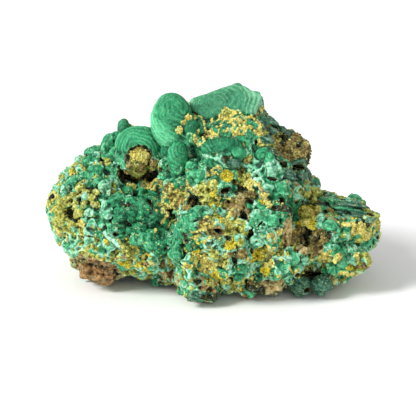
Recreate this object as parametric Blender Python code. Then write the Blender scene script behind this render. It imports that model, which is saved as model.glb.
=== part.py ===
"""Malachite specimen: one intergrown stone of botryoidal lobes, resting on its flat broken underside.

The stone is one solid. Its rounded growths are laid out as ellipsoids in a millimetre frame, run together
into one skin, hollowed where the growths leave a pocket, and cut flat underneath. The finished body is then
brought to the driving width, depth and height.

Frame: +X along the length, -Y towards the crusted front, +Z up, origin on the table below the middle.
"""
from math import radians

import bmesh
import bpy
from mathutils import Matrix, Vector

MM = 0.001

# Driving dimensions of the finished stone
WIDTH = 120.0 * MM
DEPTH = 76.0 * MM
HEIGHT = 71.5 * MM

# Fineness of the skin
SKIN_VOXEL = 1.2 * MM
SKIN_TRIANGLES = 6400
SMOOTH_FACTOR = 0.5
SMOOTH_PASSES = 3
LOBE_DIVISIONS = 3
BLADE_DIVISIONS = 1

# Each growth: centre (X, Y, Z), half sizes (X, Y, Z), turn about Y in degrees, all in millimetres
MASSES = {
    "core": ((4, 4, 28), (28, 30, 29), 0),
    "base": ((2, 5, 7), (34, 24, 9), 0),
    "front_bulge": ((7, -7, 24), (24, 20, 24), 0),
    "front_toe": ((-3, -20, 7), (9, 10, 9), 0),
    "front_foot": ((16, -13, 10), (17, 14, 11), 0),
    "left_body": ((-37, 2, 26), (23, 24, 18), 0),
    "left_shoulder": ((-41, 4, 39), (10, 13, 9), 0),
    "left_tip": ((-50, 1, 28), (10, 14, 11), 0),
    "left_bulge": ((-24, -8, 22), (13, 15, 17), 0),
    "brown_foot": ((-37, 3, 10), (14, 20, 11), 0),
    "back_left": ((-22, 18, 22), (22, 18, 23), 0),
    "back_right": ((21, 16, 20), (23, 18, 20), 0),
    "back_crown": ((4, 14, 43), (19, 18, 19), 0),
    "crown": ((9, 6, 55), (15, 16, 14), 0),
    "mound": ((9, -3, 56), (13, 12, 10), 0),
    "right_upper": ((27, 5, 44), (9, 14, 10), 0),
    "right_shelf": ((26, 3, 34), (12, 16, 11), 0),
    "right_arm": ((43, -2, 18), (16, 18, 13), 0),
    "right_arm_top": ((50, -3, 24), (10, 12, 7), -12),
    "right_arm_end": ((44, -6, 11), (11, 12, 9), 0),
}
LOBES = {
    "crown_bulb": ((-14, 0, 60.5), (6.5, 10, 9.5), 0),
    "crown_saddle": ((-5, 3, 61), (9, 9, 6), 0),
    "crown_curl": ((-7, -7, 58), (6, 6, 5), 0),
    "arch_shell": ((-25, 3, 47), (11, 12, 11), 0),
    "arch_left": ((-35, 5, 47), (8, 10, 7), 0),
    "yellow_nodule": ((-27, -7, 47), (6, 6, 6), 0),
    "throat_lobe_high": ((-12, -8, 49), (5, 6, 7), 0),
    "throat_lobe_low": ((-13, -12, 41), (5, 6, 5), 0),
    "green_bulge": ((5, -13, 53), (10, 7, 6), 0),
    "side_nodule": ((20, -9, 53), (5, 6, 5), 0),
    "front_brow": ((1, -17, 43), (11, 9, 8), 0),
    "front_cheek": ((20, -15, 43), (10, 9, 9), 0),
    "front_ridge_left": ((-4, -22, 29), (9, 9, 10), 0),
    "front_belly_left": ((6, -24, 20), (10, 9, 11), 0),
    "front_ridge_right": ((21, -20, 30), (9, 9, 10), 0),
    "front_belly_right": ((25, -19, 16), (10, 10, 10), 0),
    "front_chin": ((-6, -23, 14), (7, 8, 9), 0),
    "tube_high": ((-9, -16, 31), (6, 7, 6), 0),
    "tube_low": ((-12, -16, 20), (6, 8, 9), 0),
    "valley_floor": ((-14, -4, 7), (9, 12, 7), 0),
    "left_knob_high": ((-24, -17, 32), (7, 7, 6), 0),
    "left_knob_low": ((-32, -16, 28), (8, 8, 8), 0),
    "left_knob_edge": ((-43, -13, 34), (7, 8, 7), 0),
    "olive_knobs": ((-49, -11, 27), (7, 8, 7), 0),
    "crust_ledge": ((-38, -14, 18), (13, 9, 7), 0),
    "underside_left": ((32, -15, 5), (5, 7, 6), 0),
    "underside_right": ((39, -13, 5), (5, 8, 6), 0),
    "arm_knob": ((56, -7, 21), (4, 7, 7), 0),
    "arm_front": ((40, -14, 23), (9, 8, 8), 0),
    "arm_front_low": ((50, -11, 14), (7, 8, 7), 0),
    "back_lobe_high": ((-4, 25, 47), (11, 10, 12), 0),
    "back_lobe_left": ((-36, 24, 24), (13, 11, 13), 0),
    "back_lobe_mid": ((-6, 31, 20), (14, 9, 14), 0),
    "back_lobe_right": ((32, 28, 20), (13, 10, 12), 0),
    "back_lobe_side": ((45, 15, 17), (11, 10, 11), 0),
    "back_knob": ((18, 29, 36), (9, 8, 9), 0),
}
# Broken crystal masses with flat faces instead of round ones
BLADES = {
    "peak": ((8, 6, 64), (14, 11, 10), -16),
    "peak_end": ((15, 6, 62), (4.5, 8, 7), 30),
    "arch_point": ((-30, 2, 57.5), (3.6, 4, 4.4), 10),
    "right_fin_high": ((27, 4, 52), (7, 8, 5), 32),
    "right_fin_low": ((33, 2, 47), (4, 8, 6), 0),
    "arm_fins": ((51, -3, 27), (9, 9, 4), 14),
}
# Pockets that the growths leave open to the front
POCKETS = {
    "arch_pocket": ((-25, -13, 41), (8, 10, 5.5), 0),
    "valley": ((-15, -26, 33), (4, 9, 5), 0),
    "dark_pocket": ((31, -9, 44), (4, 7, 3), 0),
    "overhang": ((36, -20, 12), (6.5, 5, 2.2), 0),
}
SHORTEST_EDGE = 0.05 * MM

GREEN = (0.045, 0.27, 0.16, 1.0)
ROUGHNESS = 0.62


def clear_scene():
    """Remove every object that the new file came with."""
    for old in list(bpy.data.objects):
        bpy.data.objects.remove(old, do_unlink=True)


def malachite_material():
    """Plain green stone finish."""
    material = bpy.data.materials.new("malachite")
    material.use_nodes = True
    shader = material.node_tree.nodes["Principled BSDF"]
    shader.inputs["Base Color"].default_value = GREEN
    shader.inputs["Roughness"].default_value = ROUGHNESS
    shader.inputs["Metallic"].default_value = 0.0
    return material


def add_ellipsoids(bm, growths, divisions):
    """Add one icosphere for each growth, stretched to its half sizes and turned about Y."""
    for centre, half_sizes, turn in growths.values():
        place = Matrix.Translation(Vector(centre) * MM)
        tilt = Matrix.Rotation(radians(turn), 4, "Y")
        stretch = Matrix.Diagonal((*(Vector(half_sizes) * MM), 1.0))
        bmesh.ops.create_icosphere(bm, subdivisions=divisions, radius=1.0, matrix=place @ tilt @ stretch)


def new_object(name, bm):
    """Turn a bmesh into an object in the scene."""
    mesh = bpy.data.meshes.new(name)
    bm.to_mesh(mesh)
    bm.free()
    thing = bpy.data.objects.new(name, mesh)
    bpy.context.collection.objects.link(thing)
    return thing


def add_remesh(thing):
    """Run overlapping growths together into one skin."""
    remesh = thing.modifiers.new("run_together", "REMESH")
    remesh.mode = "VOXEL"
    remesh.voxel_size = SKIN_VOXEL


def growth_body():
    """All the growths as one object with one skin."""
    bm = bmesh.new()
    add_ellipsoids(bm, MASSES, LOBE_DIVISIONS)
    add_ellipsoids(bm, LOBES, LOBE_DIVISIONS)
    add_ellipsoids(bm, BLADES, BLADE_DIVISIONS)
    body = new_object("growths", bm)
    add_remesh(body)
    return body


def pocket_cutter():
    """The pockets, as one cutter that isn't part of the stone."""
    bm = bmesh.new()
    add_ellipsoids(bm, POCKETS, LOBE_DIVISIONS)
    cutter = new_object("pocket_cutter", bm)
    cutter.hide_render = True
    cutter.display_type = "WIRE"
    add_remesh(cutter)
    return cutter


def cut_pockets(body, cutter):
    """Take the pockets out of the growths and skin the result again."""
    cut = body.modifiers.new("pockets", "BOOLEAN")
    cut.operation = "DIFFERENCE"
    cut.solver = "EXACT"
    cut.object = cutter
    add_remesh(body)


def ease_skin(body):
    """Take the stepped look off the skin."""
    ease = body.modifiers.new("ease", "SMOOTH")
    ease.factor = SMOOTH_FACTOR
    ease.iterations = SMOOTH_PASSES


def thin_skin(body):
    """Bring the skin of four-sided faces down to its number of triangles."""
    depsgraph = bpy.context.evaluated_depsgraph_get()
    four_sided = len(body.evaluated_get(depsgraph).data.polygons)
    thin = body.modifiers.new("thin", "DECIMATE")
    thin.ratio = SKIN_TRIANGLES / (2 * four_sided)


def cut_flat(bm):
    """Cut the stone off at the table and close the cut with one flat face for each ring of cut edges."""
    everything = bm.verts[:] + bm.edges[:] + bm.faces[:]
    bmesh.ops.bisect_plane(bm, geom=everything, plane_co=(0, 0, 0), plane_no=(0, 0, -1), clear_outer=True)
    bmesh.ops.dissolve_degenerate(bm, dist=SHORTEST_EDGE, edges=bm.edges)
    for vertex in bm.verts:
        if vertex.co.z < SHORTEST_EDGE:
            vertex.co.z = 0.0
    rim = [edge for edge in bm.edges if edge.is_boundary]
    bmesh.ops.holes_fill(bm, edges=rim, sides=0)


def largest_shell(bm):
    """Delete crumbs, so that one closed skin is left."""
    bm.verts.ensure_lookup_table()
    unseen = set(bm.verts)
    shells = []
    while unseen:
        edge_of_shell = [unseen.pop()]
        shell = list(edge_of_shell)
        while edge_of_shell:
            vertex = edge_of_shell.pop()
            for edge in vertex.link_edges:
                neighbour = edge.other_vert(vertex)
                if neighbour in unseen:
                    unseen.remove(neighbour)
                    shell.append(neighbour)
                    edge_of_shell.append(neighbour)
        shells.append(shell)
    shells.sort(key=len, reverse=True)
    for crumb in shells[1:]:
        bmesh.ops.delete(bm, geom=crumb, context="VERTS")


def fit_to_size(bm):
    """Scale to the driving sizes, centred over the origin with the flat underside on the table."""
    low = Vector([min(v.co[axis] for v in bm.verts) for axis in range(3)])
    high = Vector([max(v.co[axis] for v in bm.verts) for axis in range(3)])
    spans = high - low
    stretch = (WIDTH / spans.x, DEPTH / spans.y, HEIGHT / spans.z)
    foot = Vector(((low.x + high.x) / 2, (low.y + high.y) / 2, low.z))
    for vertex in bm.verts:
        offset = vertex.co - foot
        vertex.co = Vector((offset.x * stretch[0], offset.y * stretch[1], offset.z * stretch[2]))


def specimen():
    """The finished stone: run together, hollowed, eased, thinned, cut flat and brought to size."""
    growths = growth_body()
    cutter = pocket_cutter()
    cut_pockets(growths, cutter)
    ease_skin(growths)
    thin_skin(growths)
    bm = bmesh.new()
    bm.from_object(growths, bpy.context.evaluated_depsgraph_get())
    for spent in (growths, cutter):
        bpy.data.objects.remove(spent, do_unlink=True)
    cut_flat(bm)
    largest_shell(bm)
    fit_to_size(bm)
    bmesh.ops.recalc_face_normals(bm, faces=bm.faces)
    stone = new_object("malachite_specimen", bm)
    stone.data.materials.append(malachite_material())
    stone.data.shade_smooth()


clear_scene()
specimen()
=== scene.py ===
"""Malachite specimen: the finished skin, grains and colours of the stone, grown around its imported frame.

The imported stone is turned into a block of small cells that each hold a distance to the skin. Lobes are added
to the block, pockets are carved out of it, and its surface becomes one closed mesh. Fine relief and the
spread of each mineral are then worked out for every point of that mesh.
"""
import math

import bmesh
import bpy
import numpy as np
import openvdb
from bpy.props import FloatProperty, FloatVectorProperty, IntProperty, PointerProperty
from mathutils import Matrix, Vector


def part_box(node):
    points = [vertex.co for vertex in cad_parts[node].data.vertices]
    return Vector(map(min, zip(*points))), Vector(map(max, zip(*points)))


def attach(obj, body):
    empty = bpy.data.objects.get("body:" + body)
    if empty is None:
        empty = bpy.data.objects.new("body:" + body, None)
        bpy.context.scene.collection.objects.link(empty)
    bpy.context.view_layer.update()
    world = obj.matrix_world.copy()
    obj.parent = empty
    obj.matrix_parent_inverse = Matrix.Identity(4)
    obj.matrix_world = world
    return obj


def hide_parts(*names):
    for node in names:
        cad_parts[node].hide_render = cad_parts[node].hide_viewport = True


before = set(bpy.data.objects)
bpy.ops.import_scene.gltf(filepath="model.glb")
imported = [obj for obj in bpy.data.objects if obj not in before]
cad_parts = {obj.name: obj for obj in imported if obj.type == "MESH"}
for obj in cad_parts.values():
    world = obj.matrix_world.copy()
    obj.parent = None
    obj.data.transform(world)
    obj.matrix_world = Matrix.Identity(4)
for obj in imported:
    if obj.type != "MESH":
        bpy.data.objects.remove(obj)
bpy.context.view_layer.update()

bl_info = {
    "name": "Malachite Specimen",
    "version": (1, 0, 0),
    "blender": (4, 5, 0),
    "location": "3D View > Sidebar > Specimen",
    "description": "Grows the crusted skin and grains of a malachite specimen around its packed frame",
    "category": "Add Mesh",
}

NODE = "malachite_specimen"
MM = 0.001

# The stone's face leans back by this angle. Places on it are given in mm: across from the middle, and up
# along the leaning face from the middle of the footprint.
FACE_LEAN = math.radians(18.0)
INTO_STONE = np.array((0.0, math.cos(FACE_LEAN), -math.sin(FACE_LEAN)))
UP_FACE = np.array((0.0, math.sin(FACE_LEAN), math.cos(FACE_LEAN)))

MINERALS = (
    "green", "emerald", "mint", "pale",
    "slate", "gold", "lemon", "olive",
    "brass", "beige", "brown", "hollow",
)
MINERAL_NUMBER = {name: number for number, name in enumerate(MINERALS)}
NO_MINERAL = 255
# Minerals that grow in rings
RINGED = ("green", "emerald", "pale")
# The attributes of the skin that hold the shares of the minerals, four in each
COVERS = ("cover_a", "cover_b", "cover_c")
# How freely the minerals of one crust run into each other
MINGLING = 2.6
# How far each use of the random swells is moved aside, in mm, so that no two follow each other
ASIDE = {
    "walls": 3.0, "ragged": 5.0, "lumps": 7.0, "warp": 9.0, "mineral": 13.0, "layer": 17.0, "chaos": 23.0,
    "beads": 31.0, "wander": 40.0, "rings": 50.0, "pits": 60.0, "worms": 80.0,
}
# From one growth ring to the next, in mm
RING_STEP = 1.5
# Distances from a pole are stored as shares of this, in mm, and the material's rings turn through so many
# radians over the whole of it
RING_RANGE = 30.0
RING_TURN = 126.0
# From one middle of rings to the next on skin that no lobe made, in mm
RING_SPACING = 12.0
# How much of its own size a knob, finger or pocket is sunk
SUNK = 0.25
# Pits: their lowest and highest place, least distance apart, smallest and largest size, and the size from
# which their walls are dark, in mm, and how likely each point of the skin is to have one
PIT_HEIGHTS = (3.0, 58.0)
PIT_SPACING = 3.0
PIT_SIZES = (0.45, 1.25)
LINED_PIT = 1.1
PIT_CHANCE = 0.15
# Strewn round growths: radius in mm and how likely each point is to have one, the height in mm that they
# stay below, and how much rarer they are on the face, which has growths of its own
BOTRYOIDS = ((3.1, 0.12), (2.1, 0.144))
BOTRYOID_TOP = 50.0
FACE_THINNING = 0.85
# Winding walls and strings: how far apart they are in mm, and how sharply they fall off
WALL_SPACING = 2.8
WALL_FALL = 2.6
WORM_SPACING = 2.4
WORM_FALL = 3.4
# Bare rock shows up to about this height, in mm, and its edge wanders up and down by so much
FOOT_HEIGHT = 12.0
FOOT_WANDER = 9.0
# How far flat blocks stand out of the face, how far plates are sunk in it, and how deep plates are, in mm
SLAB_OUT = 0.8
PLATE_SUNK = 0.5
PLATE_DEPTH = 2.6
# How far rings wander from round, and from one wander to the next, in mm
RING_WANDER = 1.4
WANDER_SIZE = 7.0
# Below this height the skin rests on the ground and stays smooth, in mm
RESTING = 0.3
# How much of the way each point goes to the middle of its neighbours, to take off the sharpest edges
SMOOTHING = 0.3
# The skin is compared with itself evened out by so many rounds, and then by so many more, to find what
# stands out or lies low. Both are stored around 0.5, at these scales for each mm. The material uses them for
# painted highlight on what stands out and painted shade on what lies low.
NEAR_ROUNDS = 4
FAR_ROUNDS = 36
FINE_SCALE = 1.9
BROAD_SCALE = 0.42

# Large smooth lobes: mineral, across, up, half across, half up, how far the middle is sunk, and how far
# across and up from it the ring centre lies, which only the ringed minerals use
LOBES = (
    ("green", -13.6, 55.4, 7.4, 10.2, 5.4, 5.5, 5.0),
    ("emerald", -7.0, 52.6, 3.2, 3.8, 1.4, 1.4, -1.2),
    ("green", -15.6, 58.4, 4.4, 4.6, 3.6, 6.0, 0.0),
    ("green", -24.8, 47.4, 9.0, 6.6, 3.4, 0.0, -2.4),
    ("emerald", -14.8, 44.4, 2.9, 4.0, 1.2, 2.0, 2.0),
    ("green", -11.4, 43.0, 3.6, 5.2, 1.8, 2.8, 3.0),
    ("green", -11.2, 38.0, 3.0, 3.6, 1.2, 0.5, 2.5),
    ("emerald", 4.4, 45.6, 7.4, 3.8, 2.2, 0.0, 4.0),
    ("green", 9.2, 43.8, 3.0, 2.2, 0.9, 0.0, 1.0),
    ("slate", 7.4, 40.6, 3.2, 1.5, 0.4, 0.0, 2.5),
    ("green", 18.4, 43.0, 2.6, 2.8, 0.8, 0.0, 0.0),
    ("green", 20.8, 40.4, 1.9, 3.8, 0.6, 0.0, 3.0),
    ("slate", 27.0, 36.2, 3.2, 2.2, 0.5, 0.0, -2.5),
    ("slate", 33.2, -3.0, 3.2, 3.2, 1.2, 0.0, 3.0),
    ("slate", 39.4, -2.4, 3.6, 3.4, 1.4, 1.0, 3.0),
    ("green", -35.6, 48.2, 3.2, 3.4, 1.8, 1.0, 0.0),
    ("emerald", -30.8, 53.0, 2.3, 3.6, 1.0, 0.0, 0.0),
    ("brown", -38.8, 2.8, 8.2, 4.0, 3.4, 0.0, 0.0),
)
# Finger-like lobes, each a chain from one end to the other: mineral, points (across, up, radius)
FINGERS = (
    ("green", ((-4.6, 23.6, 1.9), (-7.6, 20.4, 2.1), (-10.0, 16.6, 2.4), (-11.3, 12.6, 2.5),
               (-11.6, 8.6, 2.6))),
    ("emerald", ((-6.6, 16.8, 1.3), (-7.4, 14.4, 1.5), (-7.0, 11.8, 1.4))),
    ("emerald", ((-21.0, 33.6, 1.4), (-20.8, 30.0, 1.3), (-18.4, 26.6, 1.2))),
    ("emerald", ((-19.6, 34.8, 1.5), (-16.8, 32.0, 1.4), (-15.6, 27.6, 1.3))),
)
# Round knobs: across, up, radius. Those under None take the mineral of the crust around them.
KNOBS = {
    "green": (
        (-43.5, 36, 2.1), (-40, 33.5, 2.1), (-43.5, 41, 2.1), (-43, 44.5, 2.2), (-34.5, 50, 1.8),
        (-33.5, 45, 2.5), (-32, 42, 1.8), (-35.5, 38.5, 1.8), (-39.5, 38, 1.8), (-42, 38, 1.8),
        (-48, 33.5, 1.4), (-37.5, 46, 1.8), (-4, 36, 2.2), (-6, 39, 2.2), (42, 18.5, 2.5),
        (45, 16.5, 1.8), (46.5, 6.5, 2.2), (44.5, 4.5, 2.1), (-24.5, 15, 3.0), (-21, 15.5, 2.6),
        (-22, 12, 2.1),
    ),
    "mint": (
        (-37.5, 32, 1.8), (-46.5, 42, 1.8), (-40, 43.5, 1.4), (-50, 36.5, 1.8), (-52.5, 34, 1.8),
        (-51, 31, 1.8), (-55, 32, 1.4), (-43.5, 28, 1.7), (-45, 32.5, 1.4), (-36, 29.5, 1.8),
        (-36.5, 25, 1.5), (-35.5, 22.5, 1.5), (-38, 27.5, 1.3), (-38, 30.5, 1.4), (-42, 23.5, 1.7),
        (-57, 24.5, 1.4), (-56, 21.5, 1.4), (4, 22.5, 2.1), (-1.5, 23.5, 2.1), (21.5, 38.5, 2.4),
        (39, 20, 1.8), (49.5, 6.5, 1.5), (50, 10, 2.1),
    ),
    "emerald": (
        (-32.5, 27, 2.8), (-29.5, 30, 2.5), (-26, 26, 2.8), (-23.5, 27, 1.8), (-31, 22.5, 3.1),
        (-26.5, 23.5, 1.7), (-23, 22.5, 2.4), (-27.5, 21, 1.4), (-20, 23, 2.1), (-24.5, 18.5, 3.2),
        (-32, 19, 1.4), (-18, 12, 2.8), (-17.5, 22.5, 2.8), (-15.5, 20, 2.5), (-19, 17.5, 2.1),
        (-16.5, 16.5, 2.1), (-24, 32.5, 2.1), (-14.5, 30.5, 2.1), (-10.5, 33.5, 3.1), (-13.5, 26, 1.7),
        (-24.5, 29.5, 1.8), (-15.5, 13.5, 1.7), (-17.5, 9.5, 2.1), (-28.5, 17.5, 2.1), (-11, 37.5, 1.6),
        (48, 18, 1.6), (45.5, 8.5, 1.8),
    ),
    "olive": (
        (-40, 30, 1.1), (-42, 28, 1.4), (-41, 26, 1.2), (-39.5, 25.5, 1.0), (-51.5, 26, 1.8),
        (-55, 24.5, 1.4), (-53, 23.5, 1.1), (-47, 25, 1.2), (-46.5, 23, 1.1), (-45, 23.5, 1.4),
        (-45.5, 31, 1.8), (-48, 28.5, 1.8), (-50, 27.5, 1.2), (-44, 26, 1.0), (-57, 26.5, 1.1),
        (-54, 19.5, 1.4), (-52, 20, 1.4), (-48, 39.5, 1.4), (-36.5, 41, 1.3), (52.5, 13.5, 1.8),
        (-26.4, 39.4, 3.2),
    ),
    "gold": (
        (-25.2, 43.4, 4.9), (-9.4, 54.6, 1.3), (-10.8, 52.4, 1.1), (-7.6, 56.0, 1.2), (53, 17.5, 2.1),
        (55, 15, 1.8), (50, 17, 1.8), (35.5, 22.5, 1.6), (33.5, 19.5, 1.4), (37, 20, 1.3), (33, 24, 1.2),
        (38.5, 24, 1.2),
    ),
    "brass": (
        (29, 47, 1.5), (32, 48, 1.5), (33.5, 45.5, 1.5), (30.5, 44.5, 1.5), (27.5, 45.5, 1.4),
        (26, 43, 1.4), (32, 43, 1.2), (28.5, 42, 1.4), (23, 51, 1.2), (22.5, 48, 1.3), (24, 46.5, 1.2),
        (31, 50, 1.1), (20, 47.5, 1.0), (32.5, 17.5, 1.2), (30.5, 15, 1.3), (32, 12.5, 1.3), (-28, 36, 1.2),
        (-25.5, 35, 1.5), (-22.5, 36.5, 1.3), (-29.5, 38, 1.2), (-21, 38.5, 1.2), (-6.5, 26.5, 1.2),
        (-24.6, 39.0, 1.5), (-28.6, 39.8, 1.3), (-20.4, 40.6, 1.4), (-7.6, 24.4, 1.3), (-9.4, 27.4, 1.4),
    ),
    None: (
        (-5, 18, 1.7), (7, 19, 1.8), (6, 6, 2.2), (-2, 39.5, 2.1), (-6, 35, 2.1), (-3.5, 31, 2.1),
        (19, 31.5, 2.4), (16.5, 26, 1.7), (18, 17, 2.4), (16, 13.5, 2.4), (21, 12, 2.1), (0, 12, 2.1),
        (1.5, 8.5, 2.4), (-7, 2.5, 2.1), (-8.5, -1.5, 2.1), (-1.5, -1.5, 2.8), (-5, -4.5, 2.8),
        (0, -5.5, 2.4), (-10, -4.5, 1.8), (29.5, 6, 2.1), (26, 4, 2.4), (23.5, 1.5, 2.1), (28, -0.5, 1.8),
        (36.5, 14.5, 2.1), (42.5, 3.5, 2.1), (39, 5.5, 1.8), (35.5, 5.5, 2.1), (40.5, 10, 1.8),
        (44, 8, 1.8), (49.5, 20.5, 1.8),
    ),
}
# Open pockets and slots: across, up, half across, half up, how deep, roll in degrees
POCKETS = (
    (-24.8, 42.0, 5.0, 4.6, 6.0, 0), (-25.4, 37.0, 7.0, 3.8, 7.0, -8), (-30.6, 37.4, 2.2, 4.0, 5.0, 0),
    (-19.8, 35.4, 2.6, 2.4, 4.0, 20),
    (-5.6, 26.6, 2.7, 3.0, 5.0, 30), (2.4, 24.8, 1.5, 0.8, 2.4, 10), (12.2, 31.0, 1.5, 0.8, 2.4, -10),
    (5.2, 31.0, 1.9, 1.1, 2.4, 25), (11.4, 21.6, 1.6, 1.3, 2.4, 0), (17.0, 19.0, 0.8, 2.2, 3.0, -35),
    (14.4, 15.6, 0.9, 2.0, 2.8, -40), (2.6, 16.8, 0.8, 0.7, 2.0, 0), (8.0, 6.6, 1.2, 1.4, 2.4, -20),
    (24.8, 26.8, 0.9, 2.0, 3.0, 0), (33.4, 14.6, 1.9, 3.4, 6.0, 0), (22.4, 54.2, 2.6, 0.8, 3.0, -20),
    (16.4, 47.4, 1.2, 1.3, 2.0, 0), (19.4, 46.2, 1.3, 0.9, 3.0, -15), (26.0, 49.8, 1.2, 1.4, 3.0, 0),
    (24.6, 40.4, 1.8, 2.4, 4.0, 30), (30.4, 39.4, 3.4, 1.3, 5.0, -10), (36.6, 1.0, 4.8, 1.3, 6.0, 0),
    (-48.6, 23.2, 1.3, 2.0, 2.6, 0), (-40.2, 31.4, 1.1, 0.9, 1.8, 0), (-45.2, 27.4, 0.8, 1.4, 2.0, 0),
    (-38.4, 42.6, 0.6, 1.6, 2.4, 10), (-20.6, 26.0, 0.6, 1.4, 2.0, 30), (-29.0, 25.6, 0.7, 1.6, 2.0, -40),
    (-34.0, 20.4, 0.6, 1.6, 2.0, -30), (-18.2, 29.8, 0.7, 2.0, 2.2, 30), (-33.6, 15.4, 0.7, 0.9, 1.6, 0),
    (-36.2, 18.0, 0.7, 0.7, 1.4, 0), (-4.4, -0.6, 1.4, 0.6, 1.6, 0), (7.4, -0.4, 0.8, 1.0, 1.6, 40),
    (-13.4, 22.6, 0.7, 1.8, 2.0, 20), (-8.4, 13.8, 0.4, 2.4, 1.6, 10), (29.0, -1.4, 1.0, 0.6, 1.6, 0),
    (46.2, 7.8, 1.0, 1.6, 2.4, 20), (21.6, 34.6, 1.6, 1.5, 1.2, 0), (8.4, 33.8, 0.7, 0.7, 1.4, 0),
    (-40.0, 5.2, 0.6, 0.5, 1.0, 0), (-32.6, 1.4, 0.7, 0.6, 1.2, 0), (40.8, 23.4, 0.8, 0.7, 1.4, 0),
    (-46.5, 20.6, 2.4, 0.5, 1.4, -5), (-26.0, 13.6, 1.2, 0.5, 1.4, -30), (14.0, 9.4, 0.8, 1.2, 1.6, 0),
)
# Thin plates that overlap like shingles: mineral, across, up, half along, half thick, tilt in degrees
PLATES = (
    ("slate", 20.6, 57.0, 4.0, 0.8, -24), ("slate", 23.2, 55.0, 4.2, 0.7, -30),
    ("slate", 25.6, 52.4, 3.2, 0.8, -28), ("slate", 21.4, 52.4, 3.4, 0.6, -22),
    ("slate", 20.6, 49.6, 2.8, 0.5, -35), ("slate", 19.8, 48.2, 2.4, 0.5, -35),
    ("slate", 27.6, 51.2, 2.6, 0.7, -60), ("slate", 30.4, 40.8, 3.0, 0.7, 10),
    ("slate", 32.2, 36.0, 2.6, 0.8, -70), ("slate", 51.0, 25.6, 6.0, 0.8, -8),
    ("green", 50.0, 24.0, 6.6, 0.7, -12), ("slate", 52.8, 22.8, 5.4, 0.7, -16),
    ("slate", 57.0, 20.6, 2.6, 0.8, 20), ("green", 44.0, 27.4, 4.0, 0.7, -14),
    ("olive", 36.4, 31.4, 4.6, 0.8, -28), ("olive", 34.0, 29.8, 4.4, 0.7, -30),
    ("green", 38.4, 28.8, 4.4, 0.7, -20), ("beige", 27.2, 16.0, 6.4, 1.1, 88),
    ("mint", -33.0, 13.6, 5.6, 0.6, -42), ("mint", -31.0, 11.4, 5.2, 0.5, -42),
    ("olive", -28.8, 9.6, 5.0, 0.6, -45), ("emerald", 12.8, 26.2, 1.6, 0.4, -40),
    ("gold", 20.0, 26.4, 3.0, 0.6, -62),
)
# How much of each mineral a kind of crust holds
CRUSTS = {
    "green": {"green": 0.62, "emerald": 0.14, "mint": 0.14, "gold": 0.05, "olive": 0.05},
    "lumps": {"green": 0.42, "mint": 0.34, "emerald": 0.08, "olive": 0.09, "gold": 0.07},
    "emerald": {"emerald": 0.5, "green": 0.36, "mint": 0.04, "gold": 0.07, "hollow": 0.03},
    "emerald_gold": {"emerald": 0.24, "green": 0.08, "gold": 0.4, "brass": 0.18, "hollow": 0.1},
    "mint": {"mint": 0.48, "green": 0.2, "slate": 0.1, "olive": 0.1, "gold": 0.07, "beige": 0.05},
    "mixed": {
        "mint": 0.48, "green": 0.15, "olive": 0.17, "gold": 0.08, "beige": 0.05, "slate": 0.03,
        "lemon": 0.04,
    },
    "spheres": {"olive": 0.36, "gold": 0.12, "green": 0.14, "hollow": 0.26, "mint": 0.12},
    "olive": {"olive": 0.46, "mint": 0.28, "beige": 0.1, "lemon": 0.06, "green": 0.1},
    "pale": {"pale": 0.86, "green": 0.14},
    "slate": {"slate": 0.5, "green": 0.12, "brass": 0.12, "hollow": 0.18, "olive": 0.08},
    "gold": {"gold": 0.56, "green": 0.14, "emerald": 0.1, "olive": 0.1, "brass": 0.1},
    "gold_net": {"gold": 0.6, "emerald": 0.18, "green": 0.18, "brass": 0.04},
    "lemon": {"lemon": 0.66, "gold": 0.14, "olive": 0.1, "green": 0.1},
    "brass": {"brass": 0.5, "gold": 0.18, "hollow": 0.16, "olive": 0.08, "slate": 0.08},
    "beige": {"beige": 0.6, "brass": 0.14, "gold": 0.12, "mint": 0.14},
    "brown": {"brown": 0.9, "beige": 0.06, "hollow": 0.04},
    "umber": {"brass": 0.4, "beige": 0.32, "brown": 0.04, "hollow": 0.24},
}
# Flat-faced blocks on the crown: mineral, across, up, half across, half deep, half up, and roll and lean in
# degrees
SLABS = (
    ("pale", 3.6, 60.4, 9.4, 7.0, 5.0, 19, 16), ("pale", 12.2, 61.6, 4.8, 6.0, 4.6, -30, 12),
)
# The middle of the blocks' growth rings: across, up
SLAB_RINGS = (3.0, 61.5)
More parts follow.
